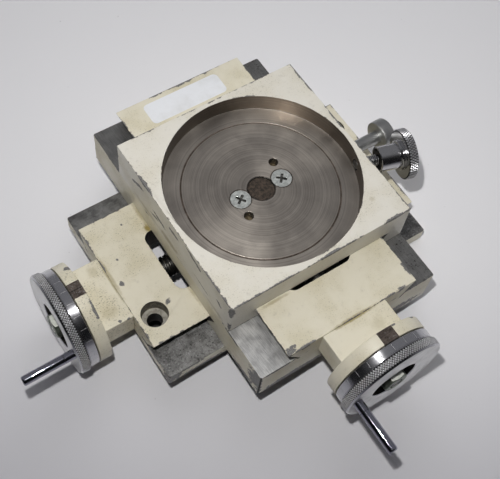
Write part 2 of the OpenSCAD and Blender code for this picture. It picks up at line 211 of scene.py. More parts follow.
def creamPaint(name, tones, edges, marks, stains, ring=None, reach=1.0, specks=0.3):
    t, s, tone = paintTone, paintWear, paintTone[tones]
    look, w, shader = newLook(name, IOR=1.48)
    place = w.place()
    patches = w.noise(place, 0.07, 4)
    ragged = w.noise(place, 0.55, 6, 0.68)
    grain = w.noise(place, 2.4)
    masks = {"x": (0, 1, 1), "y": (1, 0, 1), "z": (1, 1, 0)}
    flat = {axis: w.vector("MULTIPLY", place, mask) for axis, mask in masks.items()}
    nearest = None
    for axis, a, b, ease in edges:  # distance to each straight edge, eased where it wears less
        point = {"x": (0, a, b), "y": (a, 0, b), "z": (a, b, 0)}[axis]
        away = w.plus(w.distance(flat[axis], point), ease)
        nearest = away if nearest is None else w.calc("MINIMUM", nearest, away)
    if ring:  # the same for a round edge
        x, y, z, radius, ease = ring
        across = w.less(w.distance(flat["z"], (x, y, 0)), radius)
        both = w.joined({"X": across, "Y": w.less(w.part(place, "z"), z)})
        nearest = w.calc("MINIMUM", nearest, w.plus(w.length(both), ease))
    wide = w.scaled(patches, *[value * reach for value in s["edge"]])
    worn = w.less(w.plus(wide, w.scaled(ragged, *s["edgeTooth"])), nearest)
    for middle, half, *turn in marks:  # single chips and scratches, each an uneven ellipse
        inside = w.length(w.turned(place, turn[0] if turn else plain, half, middle))
        local = w.less(w.scaled(ragged, *s["markTooth"]), inside)
        worn = w.calc("MAXIMUM", worn, w.times(local, min(half) * s["markSlope"]))
    chip = w.ramp(worn, *s["chip"])
    colour = w.mix(w.ramp(patches, 0.35, 0.75), tone["paint"], tone["aged"])
    colour = w.tint(colour, w.ramp(w.noise(place, 0.3, 5, 0.7), 0.56, 0.78), 0.22, t["dirt"])
    colour = w.tint(colour, w.ramp(grain, 0.66, 0.8), 0.28, t["dirt"])
    dots = w.times(w.ramp(w.noise(place, 1.7, 3, 0.6), 0.57, 0.67), w.ramp(patches, 0.4, 0.6))
    colour = w.tint(colour, dots, specks, t["speck"])
    for middle, half, depth in stains:  # soft oil and grime
        inside = w.length(w.turned(place, plain, half, middle))
        inside = w.plus(inside, w.scaled(ragged, *s["stainTooth"]))
        colour = w.tint(colour, w.ramp(inside, 1.0, 0.2), depth, t["oil"])
    colour = w.tint(colour, w.ramp(worn, *s["lip"]), 0.75, t["lip"])
    bare = w.mix(w.ramp(grain, 0.35, 0.7), t["bare"], t["bareLight"])
    colour = w.mix(chip, colour, bare)
    rough = w.plus(w.ramp(patches, 0.3, 0.7, 0.36, 0.5), w.times(chip, 0.08))
    height = w.plus(w.times(chip, s["chipDepth"]), w.times(grain, 0.012))
    height = w.plus(height, w.times(w.noise(place, 0.9, 2), 0.02))
    w.coat(shader, colour, rough, height, 0.8)
    return look


steelTone = {
    "pit": rgb(0.035, 0.034, 0.032), "glint": rgb(0.6, 0.6, 0.6), "endTone": rgb(0.06, 0.057, 0.05),
    "line": rgb(0.03, 0.028, 0.026), "rust": rgb(0.08, 0.062, 0.048), "gapShade": rgb(0.03, 0.026, 0.022),
    "smudge": rgb(0.30, 0.29, 0.28), "speck": rgb(0.10, 0.095, 0.09),
}
topPits = (0.6, (0, 0, 1))  # amount of pits and the side where they are thick


# Ground and oiled steel of the slideways, brushed along one direction
def slideSteel(name, dark, light, along, spread, smear, pitted=topPits, fade=None, line=False):
    look, w, shader = newLook(name, Metallic=0.9)
    place = w.place()
    stretch = {"x": (5, 0.16, 0.16), "y": (0.16, 5, 0.16)}[along]
    brushed = w.noise(w.turned(place, (0, 0, math.radians(4)), stretch), 1.0, 3, 0.6)
    cloudy = w.noise(place, 0.2, 6, 0.7, 0.3)
    pits = w.noise(place, 1.1, 4, 0.7)
    tone = w.plus(w.times(cloudy, 1 - smear), w.times(brushed, smear))
    colour = w.mix(w.ramp(tone, 0.33, 0.69), rgb(*dark), rgb(*light))
    amount, side = pitted  # pits are thick on one side and fade out on the other
    area = w.times(w.ramp(w.towards(place, side), -15, 15), amount)
    colour = w.tint(colour, w.ramp(pits, 0.57, 0.63), area, steelTone["pit"])
    colour = w.tint(colour, w.ramp(pits, 0.42, 0.35), w.times(area, 0.6), steelTone["glint"])
    if fade:  # darker towards one end
        side, clean, full = fade
        colour = w.tint(colour, w.ramp(w.towards(place, side), clean, full), 0.6, steelTone["endTone"])
    if line:  # scribed zero line in the plane of the X axis
        off = w.calc("ABSOLUTE", w.part(place, "y"))
        colour = w.tint(colour, w.ramp(off, 0.3, 0.18), 0.7, steelTone["line"])
    height = w.plus(w.times(brushed, 0.02), w.times(pits, 0.012))
    w.coat(shader, colour, w.ramp(cloudy, 0.3, 0.7, *spread), height, 0.7)
    return look


# Turned steel of the recess, with rings about the table's centre
def turnedSteel(name, dark, light, ringDepth, stretched, smooth, upright=False):
    look, w, shader = newLook(name, Metallic=0.95)
    w.acrossRings(shader, "Z", stretched)
    place = w.place()
    level = w.vector("MULTIPLY", place, (1, 1, 0))
    across = w.part(place, "z") if upright else w.distance(level, (tableMid.x, tableMid.y, 0))
    line = w.joined({"X": across})
    fine = w.noise(line, 3.4, 3, 0.6)
    coarse = w.noise(line, 1.3, 2, 0.6)
    broad = w.noise(line, 0.32)
    cloudy = w.noise(place, 0.075, 5, 0.6)
    pits = w.noise(place, 1.6, 4, 0.72)
    tone = w.times(fine, 0.32)
    for layer, share in ((coarse, 0.32), (broad, 0.16), (cloudy, 0.2)):
        tone = w.scaled(layer, share, tone)
    colour = w.mix(w.ramp(tone, 0.35, 0.67), rgb(*dark), rgb(*light))
    colour = w.tint(colour, w.ramp(pits, 0.6, 0.76), 0.4, steelTone["rust"])
    if not upright:  # painted shade in the narrow gaps round the plug and the two screw heads, with a ragged edge
        for x, seat in ((0, plugRadius), (-screwApart, screwRadius), (screwApart, screwRadius)):
            away = w.distance(level, (tableMid.x + x, tableMid.y, 0))
            away = w.less(away, w.times(pits, 0.9))
            colour = w.tint(colour, w.ramp(away, seat + 0.2, seat - 0.3), 0.85, steelTone["gapShade"])
    relief = w.scaled(pits, 0.008, w.times(w.plus(fine, coarse), ringDepth))
    w.coat(shader, colour, w.ramp(cloudy, 0.3, 0.7, smooth, smooth + 0.15), relief, 0.8)
    return look


# Plated and polished metal, turned about a drive axis or plain
def plated(name, tone, rough, grain, smudge, stretched=0.0, along=None):
    look, w, shader = newLook(name, Metallic=1.0)
    if stretched:
        w.acrossRings(shader, along.upper(), stretched)
    place = w.place()
    cloudy = w.noise(place, 0.22, 4, 0.6)
    specks = w.noise(place, 2.6, 3, 0.7)
    stretch = {"x": (0.12, 30, 30), "y": (30, 0.12, 30), None: (0.5, 0.5, 0.5)}[along]
    marks = w.noise(w.turned(place, plain, stretch), 1.0, 3, 0.6)
    colour = w.tint(rgb(*tone), w.ramp(cloudy, 0.5, 0.8), smudge, steelTone["smudge"])
    colour = w.tint(colour, w.ramp(specks, 0.66, 0.78), smudge, steelTone["speck"])
    spread = w.ramp(cloudy, 0.3, 0.75, rough, rough * (1 + 3 * smudge))
    w.coat(shader, colour, spread, w.times(marks, grain), 0.7)
    return look


# Plain metal with blotches of oil or rust
def agedMetal(name, dark, light, metal, rough, blotch=0.3, relief=0.02):
    look, w, shader = newLook(name, Metallic=metal)
    place = w.place()
    cloudy = w.noise(place, blotch, 5, 0.65, 0.4)
    pits = w.noise(place, 1.9, 4, 0.7)
    colour = w.mix(w.ramp(cloudy, 0.35, 0.68), rgb(*dark), rgb(*light))
    colour = w.tint(colour, w.ramp(pits, 0.58, 0.75), 0.5, rgb(*dark))
    height = w.plus(w.times(pits, relief), w.times(cloudy, relief))
    w.coat(shader, colour, w.ramp(cloudy, 0.3, 0.7, rough, rough + 0.16), height, 0.8)
    return look


# Straight edges as lines for the paint: axis, the two other coordinates and how far wear is held off
edgeEase = {"table": 0.55, "tableTop": 0.45, "tableFront": {"x": 0.3, "y": 0.4}, "recess": 0.9,
            "bracket": 0.9, "way": 0.7, "waySide": 0.35, "wayEnd": 0.4}


def boxEdges(low, high, ease):
    lines = []
    for i, axis in enumerate("xyz"):
        j, k = [n for n in range(3) if n != i]
        lines += [(axis, a, b, ease) for a in (low[j], high[j]) for b in (low[k], high[k])]
    return lines


def tableEdges():
    lines = []
    for axis, a, b, ease in boxEdges(tableLow, tableHigh, edgeEase["table"]):
        if axis != "z" and b > tableMid.z:
            ease = edgeEase["tableFront"][axis] if a < 0 else edgeEase["tableTop"]
        lines.append((axis, a, b, ease))
    return lines


def wayEdges(low, high, along, land):
    i = "xyz".index(along)
    middle = tableMid.x if along == "y" else 0.0
    lines = boxEdges(low, Vector((high.x, high.y, land)), edgeEase["way"])
    for side in (-waySize["half"], waySize["half"]):
        lines.append((along, middle + side, high.z, edgeEase["waySide"]))
    return lines + [("yx"[i], end, high.z, edgeEase["wayEnd"]) for end in (low[i], high[i])]


# Chips and scratches: middle, half size and, where it leans, turn. Stains: middle, half size, depth
tableMarks = [
    ((tableLow.x, 8.7, 33.5), (1.2, 5.0, 1.1), (math.radians(10), 0, 0)),
    ((tableLow.x, -2.8, 39.0), (1.2, 4.2, 1.0)),
    ((tableLow.x, -18.3, 41.3), (1.2, 6.6, 1.1), (math.radians(14), 0, 0)),
    ((tableLow.x, 26.1, 37.0), (1.2, 4.8, 1.1), (math.radians(-23), 0, 0)),
    ((tableLow.x, 12.0, 31.0), (1.0, 3.6, 0.8), (math.radians(-12), 0, 0)),
    ((tableLow.x, -25.0, 30.0), (0.6, 5.0, 0.3), (math.radians(5), 0, 0)),
    ((tableLow.x, -37.0, 35.5), (0.6, 2.2, 0.9), (math.radians(30), 0, 0)),
    ((tableLow.x + 0.2, 20.4, 44.5), (1.3, 4.4, 1.3)),
    ((tableLow.x, tableLow.y, 41.0), (1.8, 1.6, 4.5)),
    ((tableLow.x, tableLow.y, 29.0), (0.9, 1.6, 3.0)),
    ((5.5, tableHigh.y, 44.4), (1.8, 0.8, 0.7)),
    ((9.6, tableHigh.y, 44.4), (1.2, 0.7, 0.6)),
    ((tableHigh.x, 4.5, 44.3), (0.9, 4.2, 0.9)),
    ((38.5, tableLow.y + 0.1, 44.3), (5.0, 0.9, 1.2)),
]
tableStains = [
    ((tableLow.x, 18, 26.5), (2, 14, 2.0), 0.4),
    ((tableLow.x, -34, 26), (2, 10, 1.6), 0.35),
    ((tableLow.x, 1, 27.2), (2, 10, 2.6), 0.6),
    ((36.0, -33.2, 44.5), (1.4, 1.4, 1.0), 0.25),
]
baseMarks = [
    ((-64.3, -0.3, 14.1), (0.9, 1.5, 0.5), (0, 0, 0.4)),
    ((-52.0, -17.1, 14.1), (1.7, 0.9, 0.5), (0, 0, 0.5)),
    ((-60.5, 10.7, 14.1), (0.5, 0.6, 0.5)),
    ((-50.5, 24.7, 14.1), (0.45, 0.5, 0.5)),
    ((-58.3, -31.9, 14.0), (1.7, 0.8, 1.2)),
    ((-54.0, -32.0, 14.0), (1.2, 0.7, 1.0)),
    ((-64.0, -31.6, 13.8), (1.6, 0.7, 1.2)),
    ((baseLow.x, baseLow.y, 4.5), (6.0, 5.0, 5.0)),
    ((baseLow.x, -30.0, 5.6), (0.9, 9.0, 1.3)),
    ((-52.0, baseLow.y, 0.6), (12.0, 0.9, 1.4)),
    ((-58.0, baseLow.y, 5.9), (7.0, 0.9, 0.9)),
]
baseStains = [
    ((-41.6, 17.4, 14.1), (1.8, 3.2, 1.5), 0.95),
    ((-41, 26, 14.1), (1.6, 8, 1.5), 0.5),
    ((-66.9, 6, 14.1), (1.2, 15, 1.5), 0.5),
    ((-41.2, -18, 14.1), (1.0, 12, 1.5), 0.4),
]
saddleMarks = [
    ((-26.5, -67.2, 31.4), (3.0, 1.5, 1.4), (0, 0, 0.3)),
    ((-20.6, -68.3, 30.8), (3.0, 0.8, 1.4)),
    ((27.5, -68.4, 31.2), (2.6, 0.8, 1.2)),
    ((34.9, -62.0, 31.5), (1.0, 4.0, 0.8)),
    ((saddleLow.x, -67.8, 18.0), (0.9, 6.5, 9.0), (0.2, 0, 0)),
    ((saddleLow.x, saddleLow.y, 11.0), (1.2, 1.4, 6.0)),
    ((-33.0, saddleLow.y, 23.6), (8.0, 0.9, 1.0)),
    ((saddleLow.x, -58.0, 8.0), (0.9, 9.0, 1.7)),
    ((-22.0, saddleLow.y, 8.2), (17.0, 0.9, 2.2)),
    ((30.0, saddleLow.y, 9.5), (12.0, 0.9, 2.4)),
    ((saddleLow.x, -48.0, 23.2), (0.9, 5.0, 0.9)),
    ((-28.7, 51.0, 31.6), (0.8, 5.0, 0.7)),
    ((-9.0, 66.1, 31.6), (3.2, 0.8, 0.8)),
]
saddleStains = [((3.2, -68.6, 31), (15, 1.2, 2.5), 0.75), ((-20, -46.3, 31.7), (9, 1.0, 1.2), 0.5)]
bracketMarks = {
    "x": [((-82.4, 11.5, 26.5), (1.5, 1.6, 1.4), (0, 0, 0.5)),
          ((-81.7, -10.5, 27.0), (0.9, 4.6, 1.6), (0.4, 0, 0)),
          ((-73.3, -14.6, 14.0), (0.7, 0.7, 0.6)), ((-70.0, -15.4, 13.6), (1.2, 0.6, 0.8))],
    "y": [((-17.0, -84.3, 40.0), (1.0, 0.9, 1.0)), ((7.5, -82.9, 46.6), (1.1, 0.6, 0.9)),
          ((18.0, -82.9, 41.5), (1.5, 0.6, 1.5))],
}
bracketStains = {
    "x": [((-81.4, 1, 14), (1.1, 15, 1.4), 0.85), ((-67.7, 3, 14), (0.9, 14, 1.2), 0.6),
          ((-75, -9, 14), (5, 4, 1.5), 0.3), ((-72, 11, 14), (3, 4, 1.5), 0.25)],
    "y": [((3.2, -82.9, 31.6), (15, 0.9, 1.4), 0.7), ((3.2, -69.0, 31.6), (14, 1.0, 1.2), 0.8),
          ((10, -76, 31.6), (4, 4, 1.4), 0.25)],
}
bracketSpecks = {"x": 0.9, "y": 0.35}

recessEdge = (tableMid.x, tableMid.y, tableHigh.z, waySize["recess"], edgeEase["recess"])
baseEdges = wayEdges(baseLow, baseHigh, "x", waySize["baseLand"])
saddleEdges = wayEdges(saddleLow, saddleHigh, "y", waySize["saddleLand"])
paintLooks = {  # tones, straight edges, marks, stains, round edge, reach of the wear, specks
    "tablePaint": ("table", tableEdges(), tableMarks, tableStains, recessEdge),
    "basePaint": ("ways", baseEdges, baseMarks, baseStains, None, 0.9, 0.6),
    "saddlePaint": ("ways", saddleEdges, saddleMarks, saddleStains, None, 0.9),
}
slideLooks = {  # dark tone, light tone, brushed along, roughness, share of brushing, pits, darkening towards one end, line
    "baseLand": ((0.13, 0.128, 0.125), (0.34, 0.34, 0.335), "x", (0.40, 0.58), 0.2, (0.75, (0, -1, 0))),
    "saddleLand": ((0.42, 0.42, 0.42), (0.76, 0.76, 0.75), "y", (0.36, 0.5), 0.6, (0.8, (1, 0, 0)),
                   ((-0.45, -0.75, 0), 58, 30)),
    "flankSteel": ((0.06, 0.055, 0.05), (0.17, 0.165, 0.155), "x", (0.45, 0.65), 0.4),
    "indexSteel": ((0.10, 0.08, 0.07), (0.22, 0.18, 0.155), "x", (0.36, 0.5), 0.5, topPits, None, True),
}
turnedLooks = {  # dark tone, light tone, ring depth, stretch of the highlights, roughness, upright
    "recessFloor": ((0.31, 0.277, 0.245), (0.64, 0.59, 0.53), 0.02, 0.36, 0.38),
    # recessWall: the floor's turned steel painted much darker on the wall, as painted shade inside the recess
    "recessWall": ((0.105, 0.087, 0.07), (0.265, 0.232, 0.198), 0.015, 0.6, 0.28, True),
}
platedLooks = {  # tone, roughness, height of the turning marks, smudges, then stretch and axis
    "knobChrome": ((0.52, 0.52, 0.53), 0.12, 0.002, 0.25),
    "satinChrome": ((0.46, 0.465, 0.46), 0.33, 0.006, 0.3),
    "wheelFace": ((0.70, 0.70, 0.70), 0.3, 0.006, 0.25),
}
for axis in "xy":
    edges = boxEdges(*boxOf(axis + "_bracket"), edgeEase["bracket"])
    paintLooks[axis + "BracketPaint"] = (
        "ways", edges, bracketMarks[axis], bracketStains[axis], None, 0.8, bracketSpecks[axis])
    platedLooks["chrome" + axis.upper()] = ((0.52, 0.52, 0.545), 0.18, 0.004, 0.2, 0.6, axis)
    platedLooks["pin" + axis.upper()] = ((0.34, 0.34, 0.40), 0.07, 0.0, 0.05, 0.7, axis)
agedLooks = {  # dark tone, light tone, metal, roughness, blotch scale, relief
    "groove": ((0.10, 0.08, 0.065), (0.20, 0.165, 0.14), 0.6, 0.45),
    # darkBore: near-black painted shade for the insides of bores, slots, recesses and narrow grooves
    "darkBore": ((0.016, 0.015, 0.014), (0.06, 0.056, 0.05), 0.6, 0.5),
    "boreFace": ((0.25, 0.235, 0.20), (0.45, 0.43, 0.37), 0.4, 0.45, 0.4, 0.03),
    "boreWall": ((0.07, 0.066, 0.055), (0.26, 0.24, 0.19), 0.5, 0.4, 0.6, 0.03),
    "knurl": ((0.72, 0.72, 0.74), (0.88, 0.88, 0.90), 0.75, 0.3, 0.5, 0.0),
    "knobKnurl": ((0.36, 0.36, 0.38), (0.54, 0.54, 0.56), 0.8, 0.3, 0.5, 0.0),
    # knurlRoot: near-black painted shade on the cylinder between the knurl teeth
    "knurlRoot": ((0.012, 0.012, 0.012), (0.03, 0.03, 0.03), 0.5, 0.5, 1.0, 0.0),
    "engraved": ((0.34, 0.34, 0.35), (0.52, 0.52, 0.53), 0.7, 0.5, 1.0, 0.004),
    "screwThread": ((0.035, 0.033, 0.03), (0.13, 0.125, 0.115), 0.95, 0.24, 0.25, 0.006),
    # nutSteel and nutFlat are shaded and lit copies of one nut: the top flat is painted much lighter as a
    # painted highlight, the other flats darker
    "nutSteel": ((0.10, 0.115, 0.09), (0.26, 0.29, 0.23), 0.85, 0.3, 0.4, 0.006),
    "nutFlat": ((0.78, 0.81, 0.73), (0.90, 0.92, 0.86), 0.2, 0.34, 0.5, 0.006),
    "zinc": ((0.55, 0.58, 0.56), (0.82, 0.85, 0.82), 0.75, 0.3, 0.7, 0.008),
    # slotZinc: the screw heads' zinc darkened as painted shade in the cross recesses and on the head sides
    "slotZinc": ((0.06, 0.06, 0.055), (0.22, 0.22, 0.21), 0.7, 0.35, 0.7, 0.008),
    "fixingSteel": ((0.08, 0.076, 0.07), (0.22, 0.21, 0.20), 0.9, 0.32, 0.5, 0.01),
    "brass": ((0.14, 0.108, 0.068), (0.30, 0.24, 0.155), 0.9, 0.36, 0.35, 0.01),
    "rust": ((0.02, 0.015, 0.011), (0.09, 0.065, 0.048), 0.25, 0.6, 0.8, 0.12),
}
makers = ((creamPaint, paintLooks), (slideSteel, slideLooks), (turnedSteel, turnedLooks),
          (plated, platedLooks), (agedMetal, agedLooks))
looks = {name: make(name, *values) for make, rows in makers for name, values in rows.items()}
print("materials ready:", len(looks))


# Mesh tools
def asMesh(bm, name):
    mesh = bpy.data.meshes.new(name)
    bm.to_mesh(mesh)
    bm.free()
    return mesh


def reworked(obj, change):
    bm = bmesh.new()
    bm.from_mesh(obj.data)
    change(bm)
    bm.to_mesh(obj.data)
    bm.free()


def linkMesh(name, mesh, *names):
    obj = bpy.data.objects.new(name, mesh)
    bpy.context.scene.collection.objects.link(obj)
    for key in names:
        mesh.materials.append(looks[key])
    return obj


def accompany(obj, node):
    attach(obj, bodyOf[node])


def dress(obj, node):
    accompany(obj, node)
    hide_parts(node)


def settled(obj):
    shaped = obj.evaluated_get(bpy.context.evaluated_depsgraph_get())
    mesh = bpy.data.meshes.new_from_object(shaped)
    obj.modifiers.clear()
    obj.data = mesh
    mesh.name = obj.name


creaseAngle = math.radians(35)
levelFace = 0.99999


def softened(obj, width):
    bevel = obj.modifiers.new("bevel", "BEVEL")
    bevel.width = width * mm
    bevel.segments = 2
    bevel.limit_method = "ANGLE"
    bevel.angle_limit = creaseAngle
    bevel.use_clamp_overlap = False
    low, high = [[pick(v.co[i] for v in obj.data.vertices) for i in range(3)] for pick in (min, max)]
    weights = obj.modifiers.new("weights", "WEIGHTED_NORMAL")
    weights.keep_sharp = True
    settled(obj)
    for vert in obj.data.vertices:  # corners stay inside the piece's own box
        vert.co = [min(max(vert.co[i], low[i]), high[i]) for i in range(3)]
    evened(obj.data)


def evened(mesh):  # level faces keep their own direction, rounded ones stay smooth
    normals = [tuple(corner.vector) for corner in mesh.corner_normals]
    for poly in mesh.polygons:
        if max(abs(value) for value in poly.normal) > levelFace:
            for i in poly.loop_indices:
                normals[i] = tuple(poly.normal)
    mesh.normals_split_custom_set(normals)


def creased(bm):
    for edge in bm.edges:
        if edge.is_manifold:
            edge.smooth = edge.calc_face_angle(0.0) < creaseAngle


def outward(bm):
    bmesh.ops.recalc_face_normals(bm, faces=bm.faces)


def refined(node, name, *names, sort=None, edge=0.25):
    bm = bmesh.new()
    bm.from_mesh(frame["nodes"][node].data)
    bmesh.ops.remove_doubles(bm, verts=bm.verts, dist=1e-6)
    for face in bm.faces:
        face.material_index = sort(face.calc_center_median() / mm, face.normal) if sort else 0
        face.smooth = True
    obj = linkMesh(name, asMesh(bm, name), *names)
    if edge:
        softened(obj, edge)
    dress(obj, node)


# A turned piece: (x, radius) points in millimetres about the X axis through middle
def lathe(name, node, points, middle, names, segments, place, picks=None):
    bm = bmesh.new()
    rings = []
    for x, radius in points:
        ring = []
        for i in range(segments if radius else 1):
            turn = 2 * math.pi * i / segments
            y, z = middle[0] + radius * math.cos(turn), middle[1] + radius * math.sin(turn)
            ring.append(bm.verts.new((x, y, z)))
        rings.append(ring)
    if points[0] == points[-1]:  # a closed outline ends on its first ring
        bmesh.ops.delete(bm, geom=rings.pop(), context="VERTS")
        rings.append(rings[0])
    for step, (a, b) in enumerate(zip(rings, rings[1:])):
        for i in range(segments):
            j = (i + 1) % segments
            corners = [a[i % len(a)], a[j % len(a)], b[j % len(b)], b[i % len(b)]]
            corners = list(dict.fromkeys(corners))
            if len(corners) > 2:
                face = bm.faces.new(corners)
                face.material_index = picks[step] if picks else 0
                face.smooth = True
    outward(bm)
    bmesh.ops.scale(bm, vec=(mm, mm, mm), verts=bm.verts)
    bmesh.ops.transform(bm, matrix=place, verts=bm.verts)
    obj = linkMesh(name, asMesh(bm, name), *names)
    reworked(obj, creased)
    dress(obj, node)


# Geometry node trees for what repeats
def newTree(name, inputs):
    tree = bpy.data.node_groups.new(name, "GeometryNodeTree")
    tree.interface.new_socket(name="Geometry", in_out="OUTPUT", socket_type="NodeSocketGeometry")
    for key, kind in inputs.items():
        tree.interface.new_socket(name=key, in_out="INPUT", socket_type="NodeSocket" + kind)
    return tree, Wiring(tree), tree.nodes.new("NodeGroupInput").outputs


def closeTree(w, shape, look):
    solid = w.made("GeometryNodeRealizeInstances", {"Geometry": shape})
    made = w.made("GeometryNodeSetMaterial", {"Geometry": solid, "Material": look})
    w.feed(w.add("NodeGroupOutput").inputs[0], made)


# Rows of small bodies standing on a cylinder about the X axis, each row shifted by half a step
def ringTree(name, shape):
    inputs = {"Count": "Int", "Rows": "Int", "Radius": "Float", "Start": "Float", "Row Step": "Float",
              "First Angle": "Float", "Middle": "Vector", "Size": "Vector", "Material": "Material"}
    tree, w, given = newTree(name, inputs)
    index = w.made("GeometryNodeInputIndex")
    row = w.calc("FLOOR", w.calc("DIVIDE", index, given["Count"]))
    shift = w.times(w.calc("MODULO", row, 2.0), 0.5)
    step = w.calc("DIVIDE", 2 * math.pi, given["Count"])
    turn = w.scaled(w.plus(index, shift), step, given["First Angle"])
    values = {"X": w.scaled(row, given["Row Step"], given["Start"]),
              "Y": w.times(w.calc("COSINE", turn), given["Radius"]),
              "Z": w.times(w.calc("SINE", turn), given["Radius"])}
    spot = w.vector("ADD", w.joined(values), given["Middle"])
    total = w.times(given["Count"], given["Rows"])
    points = w.made("GeometryNodePoints", {"Count": total, "Position": spot})
    lean = w.joined({"X": w.less(turn, math.pi / 2)})
    turned = w.made("FunctionNodeEulerToRotation", {"Euler": lean})
    if shape == "diamond":
        values = {"Vertices": 4, "Radius Top": 0.0, "Radius Bottom": 0.5, "Depth": 1.0}
        body = w.made("GeometryNodeMeshCone", values)
    else:
        body = w.made("GeometryNodeMeshCube", {"Size": (1.0, 1.0, 1.0)})
    values = {"Points": points, "Instance": body, "Rotation": turned, "Scale": given["Size"]}
    closeTree(w, w.made("GeometryNodeInstanceOnPoints", values), given["Material"])
    return tree


# One thread: a trapezoid ridge wound along the X axis
def threadTree(name):
    inputs = {"Turns": "Float", "Pitch": "Float", "Radius": "Float", "Root": "Float", "Crest": "Float",
              "Depth": "Float", "Start": "Vector", "Material": "Material"}
    tree, w, given = newTree(name, inputs)
    values = {"Resolution": 40, "Rotations": given["Turns"], "Start Radius": given["Radius"],
              "End Radius": given["Radius"], "Height": w.times(given["Turns"], given["Pitch"])}
    path = w.made("GeometryNodeCurveSpiral", values)
    path = w.made("GeometryNodeSetCurveNormal", {"Curve": path}, mode="Z_UP")
    values = {"Bottom Width": given["Root"], "Top Width": given["Crest"], "Height": given["Depth"],
              "Offset": 0.0}
    section = w.made("GeometryNodeCurvePrimitiveQuadrilateral", values, mode="TRAPEZOID")
    values = {"Curve": path, "Profile Curve": section, "Fill Caps": True}
    ridge = w.made("GeometryNodeCurveToMesh", values)
    values = {"Geometry": ridge, "Rotation": (0.0, math.pi / 2, 0.0), "Translation": given["Start"]}
    closeTree(w, w.made("GeometryNodeTransform", values), given["Material"])
    return tree


trees = {
    "knurl": ringTree("knurlRing", "diamond"),
    "marks": ringTree("markRing", "bar"),
    "thread": threadTree("threadRidge"),
}


def grown(name, node, tree, values, lookName, place):
    host = linkMesh(name, bpy.data.meshes.new(name))
    modifier = host.modifiers.new("grow", "NODES")
    modifier.node_group = tree
    values = dict(values, Material=looks[lookName])
    for item in tree.interface.items_tree:
        if item.in_out == "INPUT":
            modifier[item.identifier] = values[item.name]
    settled(host)
    host.data.transform(place)
    reworked(host, outward)
    accompany(host, node)


# Castings, each copied from its solid and sorted into painted and bare faces
sortShape = {"skin": 0.1, "level": 0.9, "upright": 0.05, "square": 0.99, "grooveDepth": 0.7, "plugReach": 30,
             "wall": 1, "corner": 41.5, "flank": 20, "holes": 50, "slot": 0.3}


def nearEnds(value, low, high):
    return value < low + sortShape["skin"] or value > high - sortShape["skin"]


def sortTable(at, normal):
    s = sortShape
    radius = math.hypot(at.x - tableMid.x, at.y - tableMid.y)
    if at.z > tableHigh.z - s["skin"] / 2:
        return 0
    if radius < waySize["recess"] + s["skin"] and at.z > waySize["recessFloor"] - s["grooveDepth"]:
        if normal.z > s["level"] and at.z > waySize["recessFloor"] - s["skin"] / 2:
            return 1
        if radius < s["plugReach"]:
            return 3
        return 2 if radius > waySize["recess"] - s["wall"] else 5
    sides = abs(normal.z) < s["upright"] and max(abs(normal.x), abs(normal.y)) > s["square"]
    outside = nearEnds(at.x, tableLow.x, tableHigh.x) or nearEnds(at.y, tableLow.y, tableHigh.y)
    return 0 if sides and outside else 4


def sortWay(low, high, land, along, middle):
    s = sortShape
    i = "xyz".index(along)
    j = 1 - i

    def sort(at, normal):
        if normal.z > s["level"]:
            if at.z > high.z - s["skin"]:
                return 0
            return 1 if abs(at.z - land) < s["skin"] else 4
        ends = nearEnds(at[i], low[i], high[i])
        corner = not ends and abs(normal.z) < s["upright"] and abs(at[j]) > s["corner"]
        if corner or nearEnds(at[j], low[j], high[j]) or (ends and abs(normal[i]) > s["level"]):
            return 0
        if abs(normal.z) > s["upright"] and abs(at[j] - middle) > s["flank"]:
            return 2
        return 5 if along == "x" and at.z > waySize["seat"] + s["skin"] and abs(at.x) > s["holes"] else 3
    return sort


# the sides and cross recesses of the heads take the darker zinc, painted shade
def sortScrews(at, normal):
    return normal.z < sortShape["level"] or at.z < headsHigh.z - sortShape["slot"]


# the top flat takes the lit copy, a painted highlight
def sortNut(at, normal):
    return normal.z > sortShape["level"]


refined("table", "table_casting", "tablePaint", "recessFloor", "recessWall", "rust", "flankSteel", "groove",
        sort=sortTable)
refined("base", "base_casting", "basePaint", "baseLand", "flankSteel", "darkBore", "boreFace", "boreWall",
        sort=sortWay(baseLow, baseHigh, waySize["baseLand"], "x", 0.0))
refined("saddle", "saddle_casting", "saddlePaint", "saddleLand", "flankSteel", "darkBore", "boreFace",
        sort=sortWay(saddleLow, saddleHigh, waySize["saddleLand"], "y", tableMid.x))
for axis in "xy":
    refined(axis + "_bracket", axis + "_bracket_casting", axis + "BracketPaint", edge=0.4)
    refined(axis + "_index", axis + "_index_plate", "indexSteel", edge=0.08)
    refined(axis + "_bracket_screws", axis + "_socket_screws", "fixingSteel", edge=0.0)
    refined(axis + "_gib", axis + "_gib_strip", "flankSteel", edge=0.1)
    refined(axis + "_nut", axis + "_feed_nut", "brass", edge=0.3)
    refined(axis + "_collar", axis + "_thrust_collar", "fixingSteel", edge=0.15)
    refined(axis + "_washer", axis + "_plain_washer", "fixingSteel", edge=0.1)
    refined(axis + "_wheel_nut", axis + "_hex_nut", "nutSteel", "nutFlat", sort=sortNut, edge=0.12)
refined("x_gib_screw", "x_gib_adjuster", "fixingSteel", edge=0.1)
refined("x_nut_screws", "x_nut_fixings", "fixingSteel", edge=0.0)
refined("y_gib_screws", "y_gib_setscrews", "fixingSteel", edge=0.1)
refined("y_gib_locknuts", "y_gib_hexnuts", "fixingSteel", edge=0.15)
refined("y_nut_screws", "y_nut_fixings", "zinc", "slotZinc", sort=sortScrews, edge=0.08)
refined("centre_plug", "centre_plug_disc", "rust", edge=0.25)
refined("clamp_tip", "clamp_pad", "fixingSteel", edge=0.15)
refined("lock_slug", "lock_pad", "brass", edge=0.15)
print("castings and fixings ready")

